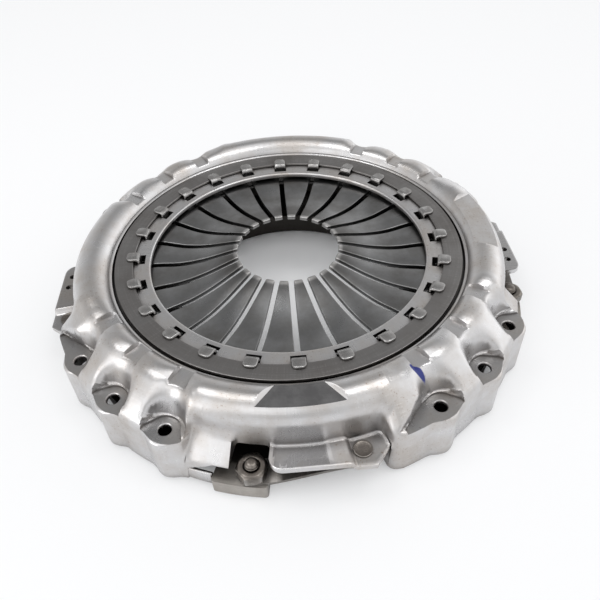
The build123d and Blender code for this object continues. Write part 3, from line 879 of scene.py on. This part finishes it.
def punch_shell(shell):
    """Takes the pads, flats, bolt holes and hook holes out of the shell."""
    drills, edges = bmesh.new(), bmesh.new()
    for unit in range(QUARTERS):
        for hole in HOLES:
            spot = SECTOR_START + QUARTER * unit + hole
            add_cone(drills, placed(spot, BOLT_R, 38), HOLE_R, HOLE_R, 26)
            add_cone(edges, placed(spot, BOLT_R, 50.9), HOLE_R - 0.2, HOLE_R + 2.8, HOLE_EDGE)
        if unit != QUARTERS - 1:
            for across, radial in HOOKS:
                spot = placed(360 + QUARTER * unit, radial, 32, across)
                add_cone(drills, spot, HOOK_R, HOOK_R, 20, 24)
    for form in (pad_cutter(), flat_cutter(), drills, edges):
        cut(shell, finish("cutter", form))
    crease(shell, 48)


def face_shell(shell):
    """Milled steel on the front flat, and the cover steel's copy with painted shade on the pads and the
    brackets' upper faces.

    The front bracket keeps the unshaded cover steel round its bare panel.
    """
    shell.data.materials.append(milled)
    # Slot 2 is the cover steel with painted shade.
    shell.data.materials.append(painted_shade_steel)
    for face in shell.data.polygons:
        place = face.center / MM
        reach = hypot(place.x, place.y)
        u = (degrees(atan2(place.y, place.x)) - SECTOR_START) % QUARTER
        on_flat = face.normal.z > 0.9995 and abs(place.z - FLAT_Z) < 0.02
        on_pad = face.normal.z > 0.98 and abs(place.z - PAD_Z) < 0.1
        on_bracket = face.normal.z > 0.9 and u > BRACKET_START and reach > BRACKET_IN and place.z < 45
        round_panel = place.z >= 43.3 and -60 < place.x < 60 and place.y < 0
        if on_flat:
            face.material_index = 1 if place.y < -150 else 0
            face.use_smooth = False
        elif on_pad:
            face.material_index = 2
            face.use_smooth = False
        elif on_bracket and not round_panel:
            face.material_index = 2


TABS = 24
TAB_WINDOW_R, TAB_WINDOW_SIZE = 148.4, (8.6, 13.8, 12)
RAIL_R, RAIL_Z, RAIL_START, RAIL_STOP = 231.6, 11.4, 333.6, 340.2


def make_flange():
    """Inner part of the cover: recess wall, spring seat, tabbed flange and its rolled lip."""
    flange = turned("cover_flange", [
        (180.0, 74.2), (178.4, 74.3), (176.6, 73.8), (175.5, 73.0), (175.0, 72.0), (174.9, 69.6),
        (171.2, 69.6), (171.0, 71.1), (170.7, 71.3), (166.5, 71.4), (165.4, 71.2), (164.0, 70.6),
        (163.0, 70.5), (141.0, 70.5), (140.2, 70.42), (139.4, 70.15), (138.8, 69.7), (138.5, 69.0),
        (138.5, 66.3), (138.8, 65.7), (139.4, 65.5), (171.0, 65.5), (176.0, 66.5), (180.0, 69.5),
    ])
    windows = bmesh.new()
    for number in range(TABS):
        add_box(windows, placed(360 / TABS * number, TAB_WINDOW_R, 68), TAB_WINDOW_SIZE)
    cut(flange, finish("cutter", windows, smooth=False))
    crease(flange, 35)
    return flange


def make_rails():
    """Short foot rails beside the lug windows, low on the skirt."""
    rails = []
    section = [(RAIL_R + out, RAIL_Z + up) for out, up in round_section(1.8, 7.4, 1.7)]
    for unit in range(QUARTERS):
        turns = np.radians(np.linspace(RAIL_START, RAIL_STOP, 14) + QUARTER * unit)
        points = [[(r * cos(a), r * sin(a), z) for r, z in section] for a in turns]
        rails.append(loft(f"foot_rail_{unit + 1}", np.array(points)))
    return rails


def make_cover():
    """The whole cover: its shell, flange and foot rails stand for one pressed sheet."""
    shell = make_shell()
    punch_shell(shell)
    for piece in [shell, make_flange()] + make_rails():
        dress(piece, "cover_housing")
    face_shell(shell)


# ---------- springs, rings and tabs

FINGERS = 24
FINGER_HALF = 180 / FINGERS
TIP_R, PIVOT_R, RIM_START, RIM_R = 51.0, 159.5, 158.2, 193.0
FINGER_R = (TIP_R, 66.0, 86.0, 108.0, 136.0, PIVOT_R, RIM_R)
FINGER_Z = (73.5, 69.2, 63.9, 60.8, 61.9, 61.4, 55.6)
SPRING_THICK = 4.5


def slot_half(x):
    """Half width of the gap between two fingers, wider where a tab passes."""
    return 2.65 + 4.6 * ease(x, 145.2, 146.8) * (1 - ease(x, 153.6, 155.2))


def finger_points():
    """Stations of one finger, bent and crowned, from its tip to the rim."""
    x = np.concatenate([
        [TIP_R, 51.15, 51.5, 52.1, 53.0, 54.4, 56.0], np.linspace(58, 142, 43),
        np.linspace(144, 157, 18), [157.6, RIM_START],
    ])
    top = through(FINGER_R, FINGER_Z, x)
    rise = np.gradient(top, x)
    crown = 0.35 * ease(-x, -64, -54)
    thick = SPRING_THICK / 2 - rounded_end(x - TIP_R, 1.9) * 0.8
    half = (x * sin(radians(FINGER_HALF)) - slot_half(x)) / cos(radians(FINGER_HALF))
    half = half - rounded_end(x - TIP_R, 1.2) * 0.8
    rows = []
    for k in range(len(x)):
        section = round_section(half[k], thick[k], 0.75)
        lean = sqrt(1 + rise[k] ** 2)
        centre_x, centre_z = x[k] + rise[k] / lean * SPRING_THICK / 2, top[k] - SPRING_THICK / 2 / lean
        rows.append([
            (centre_x - rise[k] / lean * v, u, centre_z + v / lean
             + (crown[k] * (1 - (u / half[k]) ** 2) - crown[k]) * (v > 0)) for u, v in section
        ])
    points = np.array(rows)
    points[:, :, 0] = np.maximum(points[:, :, 0], TIP_R)
    return points


def rim_points():
    """Stations of the part of the rim that one finger grows from."""
    x = np.array([RIM_START, 162, 168, 174, 180, 186, 190, 192, 192.7, RIM_R])
    top = through(FINGER_R, FINGER_Z, x)
    sides = []
    for share in np.linspace(-FINGER_HALF, FINGER_HALF, 7):
        c, s = cos(radians(share)), sin(radians(share))
        ring = [(r * c, r * s, z) for r, z in zip(x, top)]
        ring += [(r * c, r * s, z - SPRING_THICK) for r, z in zip(x[::-1], top[::-1])]
        sides.append(ring)
    return np.array(sides)


def make_fingers():
    """The diaphragm spring as 24 fingers and the 24 parts of its rim, each a piece of its own."""
    finger_form, rim_form = finger_points(), rim_points()
    for number in range(FINGERS):
        turn = FINGER_HALF + 2 * FINGER_HALF * number
        finger = loft(f"diaphragm_finger_{number + 1:02d}", finger_form, turn_to(turn))
        dress(finger, "diaphragm_spring", ride=False)
        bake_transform(finger)
        rim = loft(f"diaphragm_rim_{number + 1:02d}", rim_form, turn_to(turn))
        crease(rim, 40)
        dress(rim, "diaphragm_spring", ride=False)
        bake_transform(rim)


def make_preload_spring():
    """The slightly coned disc spring in the recess."""
    low, high = 70.97, 71.67
    disc = turned("preload_spring", [
        (155.1, low + 0.3), (155.1, low + 2.1), (155.25, low + 2.35), (155.5, low + 2.48),
        (156.2, low + 2.52), (172.2, high + 2.46), (172.6, high + 2.42), (172.85, high + 2.3),
        (173.0, high + 2.1), (173.0, high + 0.3), (172.7, high), (155.4, low),
    ], 360)
    crease(disc, 50)
    dress(disc, "preload_disc_spring")


RING_IN, RING_OUT, TAB_THICK, TAB_HALF, TAB_END = 148.0, 168.0, 2.5, 6.25, 162.0
LEG_FOOT, LEG_R, BEND_R, BEND_LOW = 1.2, 150.25, 2.75, 4.0


def make_retaining_ring():
    """The flat ring and its tabs: a leg, a bend outwards and a rounded end."""
    base, top = (corner[2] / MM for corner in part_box("retaining_tab_ring"))
    ring = turned("retaining_ring", [
        (RING_IN, base), (RING_OUT, base), (RING_OUT, base + TAB_THICK), (RING_IN, base + TAB_THICK),
    ], 240)
    crease(ring, 40)
    dress(ring, "retaining_tab_ring")

    leg = [(LEG_R, z) for z in np.linspace(base + LEG_FOOT, top - BEND_LOW, 8)]
    bend = [
        (LEG_R + BEND_R - BEND_R * cos(a), top - BEND_LOW + BEND_R * sin(a))
        for a in np.linspace(0, pi / 2, 12)[1:]
    ]
    flat = [(x, top - TAB_THICK / 2) for x in (
        154.0, 155.5, 157.0, 158.2, 159.2, 160.2, 161.0, 161.5, 161.8, 161.95, TAB_END
    )]
    path = leg + bend + flat
    reach = np.array([point[0] for point in path])
    half = TAB_HALF - rounded_end(TAB_END - reach, 4.2)
    thick = TAB_THICK / 2 - rounded_end(TAB_END - reach, 0.9) * 0.7
    points = ribbon(path, half, thick, 0.85)
    for row, (x, z) in zip(points, path):
        if z > top - BEND_LOW and x > 151:
            row[:, 2] -= 0.45 * (row[:, 1] / TAB_HALF) ** 2
    for number in range(TABS):
        tab = loft(f"ring_tab_{number + 1:02d}", points, turn_to(360 / TABS * number))
        dress(tab, "retaining_tab_ring")


def make_wire_rings():
    """The two round wires that the diaphragm spring tilts on."""
    for node in ("upper_pivot_ring", "lower_pivot_ring"):
        lowest, highest = (corner[2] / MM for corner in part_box(node))
        middle, wire = (lowest + highest) / 2, (highest - lowest) / 2
        section = [
            (PIVOT_R + wire * cos(a), middle + wire * sin(a))
            for a in np.linspace(0, 2 * pi, 16, endpoint=False)
        ]
        dress(turned(node.replace("pivot_ring", "wire_ring"), section, 240), node)


# ---------- straps and fasteners

STRAP_R, STUD_ACROSS = 0.221, 0.045  # metres
LEAF_END, LEAF_HALF, LEAF_Z, LEAF_DROP = 56.5, 11.5, 32.0, 14.0

RIVET = (
    (2.5, 27.05), (5.5, 27.2), (7.4, 28.2), (8.4, 30.0), (8.5, 31.4), (8.5, 31.5), (5.0, 31.5),
    (5.0, 39.45), (8.0, 39.5), (8.0, 40.3), (7.85, 40.7), (7.5, 40.88), (6.9, 40.88),
    (6.4, 40.7), (6.0, 40.55), (3.0, 40.5),
)
NUT = (
    (13.6, 20.5), (13.6, 28.55), (13.1, 28.95), (12.4, 29.4), (11.7, 29.9), (11.3, 30.2),
    (10.9, 30.42), (10.4, 30.5), (7.6, 30.5), (7.2, 30.4), (6.7, 30.0), (6.3, 29.4), (6.1, 28.4),
)
BOLT = (
    (9.6, 3.2), (10.0, 3.6), (10.0, 8.4), (9.7, 8.7), (6.0, 8.7), (6.0, 31.6), (5.6, 31.9),
    (5.6, 32.9), (5.4, 33.7), (4.9, 34.4), (4.1, 35.0), (3.0, 35.4), (1.6, 35.5),
)


def hexagon(a):
    """Radius of the nut's outline, with its corners a little rounded."""
    inner = (a % (pi / 3)) - pi / 6
    return min(12.0 / cos(inner), 13.6)


def make_stud(name, node, profile, spot, outline=None):
    """A turned fastener of radius and height pairs, held inside an outline."""
    angles = np.linspace(0, 2 * pi, 72, endpoint=False)
    rows = []
    for radius, height in profile:
        reach = [min(radius, outline(a)) if outline else radius for a in angles]
        rows.append([(q * cos(a), q * sin(a), height) for q, a in zip(reach, angles)])
    piece = loft(name, np.array(rows), spot)
    crease(piece, 38)
    dress(piece, node)


def make_leaves(unit, turn):
    """Three thin leaves from the bracket's rivet down to the lug's bolt."""
    steps = np.array([0.0, 0.2, 0.8, 1.8, 3.2, 5, 7, 9, LEAF_HALF])
    x = np.concatenate([-LEAF_END + steps, np.linspace(-43, 43, 35), LEAF_END - steps[::-1]])
    end = LEAF_END - np.abs(x)
    round_end = np.sqrt(np.maximum(LEAF_HALF**2 - (LEAF_HALF - end) ** 2, 0.04))
    half = np.where(end < LEAF_HALF, round_end, LEAF_HALF)
    drop = LEAF_DROP * (1 - ease(x, -30.5, 30.5) * 0.35 - 0.65 * np.clip((x + 30.5) / 61, 0, 1))
    for level, name in enumerate(("bottom", "middle", "top")):
        path = np.stack([x, LEAF_Z + level - drop], 1)
        leaf = loft(f"leaf_{unit}_{name}", ribbon(path, half, 0.5, 0.15), turn)
        crease(leaf, 35)
        dress(leaf, f"strap_{unit}_leaf_{name}", ride=False)
        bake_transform(leaf)


def make_straps():
    """Leaf packs with their rivets, nuts and bolts, for the four units."""
    for unit in range(QUARTERS):
        turn = turn_to(QUARTER * unit) @ Matrix.Translation((0, -STRAP_R, 0))
        at_rivet = turn @ Matrix.Translation((STUD_ACROSS, 0, 0))
        at_bolt = turn @ Matrix.Translation((-STUD_ACROSS, 0, 0))
        number = unit + 1
        make_leaves(number, turn)
        make_stud(f"rivet_{number}", f"strap_rivet_{number}", RIVET, at_rivet)
        make_stud(f"nut_{number}", f"lug_nut_{number}", NUT, at_bolt @ turn_to(6), hexagon)
        make_stud(f"bolt_{number}", f"lug_bolt_{number}", BOLT, at_bolt)


make_cover()
make_fingers()
make_preload_spring()
make_retaining_ring()
make_wire_rings()
make_straps()


# ---------- floor and light

PALE = tint(0.965, 0.97, 0.98)
FRONT_LEVELS = (
    (0.0, 0.80), (0.35, 0.82), (0.52, 0.90), (0.70, 1.08), (0.80, 0.90), (0.90, 0.85), (1.0, 1.08)
)
BACK_LEVELS = (
    (0.0, 0.92), (0.30, 0.90), (0.50, 0.74), (0.63, 0.60), (0.74, 0.33), (0.87, 0.42), (0.97, 1.25)
)
LAMPS = (
    ("ceiling_left", (-0.7, 0.1, 1.8), 0.7, 5),
    ("ceiling_right", (0.6, -0.1, 1.8), 0.6, 4),
    ("window", (-0.6, -1.5, 1.2), 1.2, 2.5),
    ("low_left", (-1.3, -0.8, 0.22), 0.8, 4),
)


def level_ramp(room, height, levels):
    """Brightness of the room at a height, from pairs of place and level."""
    ramp = room.add("ShaderNodeValToRGB", {0: height})
    ramp.color_ramp.interpolation = "EASE"
    stops = ramp.color_ramp.elements
    for stop, (spot, level) in zip(stops, (levels[0], levels[-1])):
        stop.position, stop.color = spot, tint(level, level, level)
    for spot, level in levels[1:-1]:
        stops.new(spot).color = tint(level, level, level)
    return ramp.outputs[0]


def studio_world():
    """A soft room: bright overhead and in front, dim above half height behind, pale low down.

    It is brighter towards its sides, and behind brighter on the right. The camera itself sees a
    plain pale ground instead.
    """
    world = bpy.data.worlds.new("studio")
    bpy.context.scene.world = world
    world.use_nodes = True
    room = Graph(world.node_tree)
    way = room.parts(room.add("ShaderNodeTexCoord").outputs["Generated"])
    behind = room.span(way["Y"], -0.45, 0.35, interpolation_type="SMOOTHSTEP")
    front, back = (level_ramp(room, way["Z"], levels) for levels in (FRONT_LEVELS, BACK_LEVELS))
    sideways = room.span(room.math("ABSOLUTE", way["X"]), 0.1, 0.8, 0.84, 1.38)
    lean = room.math("MULTIPLY_ADD", room.span(way["X"], -0.6, 0.6, -0.36, 0.30), behind, 1.0)
    light = world.node_tree.nodes["Background"]
    room.join(light, {
        "Color": room.mix(behind, front, back), "Strength": room.math("MULTIPLY", sideways, lean),
    })
    plain = room.add("ShaderNodeBackground", {"Color": PALE}).outputs[0]
    seen = room.add("ShaderNodeLightPath").outputs["Is Camera Ray"]
    both = room.add("ShaderNodeMixShader", {0: seen, 1: light.outputs[0], 2: plain}).outputs[0]
    room.join(world.node_tree.nodes["World Output"], {"Surface": both})


def lay_floor():
    """A pale floor that keeps the shadow close by and fades further out, with a pool of painted light
    under the bore.
    """
    bpy.ops.mesh.primitive_plane_add(size=6, location=(0, 0, -0.0002))
    floor = bpy.context.object
    floor.name = "floor"
    mat = Recipe("floor")
    mat.put(base_color=tint(0.90, 0.905, 0.915), roughness=0.75)
    seen = mat.add("ShaderNodeLightPath").outputs
    glow = mat.add("ShaderNodeEmission", {"Color": PALE, "Strength": 1.0}).outputs[0]
    reach = mat.length(mat.place())
    # Painted light: the floor glows a little under the bore, where shade falls.
    bore_light_pool = mat.span(reach, 0.09, 0.125, 0.20, 0.0)
    shown = mat.math("ADD", mat.span(reach, 0.205, 0.236, 0.0, 0.55), bore_light_pool)
    mirrored = mat.math("ADD", mat.span(reach, 0.23, 0.70, 0.0, 0.65), bore_light_pool)
    share = mat.math(
        "ADD", mat.math("MULTIPLY", seen["Is Camera Ray"], shown),
        mat.math("MULTIPLY", seen["Is Glossy Ray"], mirrored),
    )
    both = mat.add("ShaderNodeMixShader", {0: share, 1: mat.shader.outputs[0], 2: glow}).outputs[0]
    mat.join(mat.tree.nodes["Material Output"], {"Surface": both})
    floor.data.materials.append(mat.material)


def hang_lamps():
    """Soft square lamps that look at the part."""
    for name, place, size, power in LAMPS:
        lamp = bpy.data.objects.new(name, bpy.data.lights.new(name, "AREA"))
        lamp.data.size = size
        lamp.data.energy = power
        lamp.location = place
        lamp.visible_camera = False
        lamp.rotation_euler = (-Vector(place)).to_track_quat("-Z", "Y").to_euler()
        bpy.context.scene.collection.objects.link(lamp)


studio_world()
lay_floor()
hang_lamps()
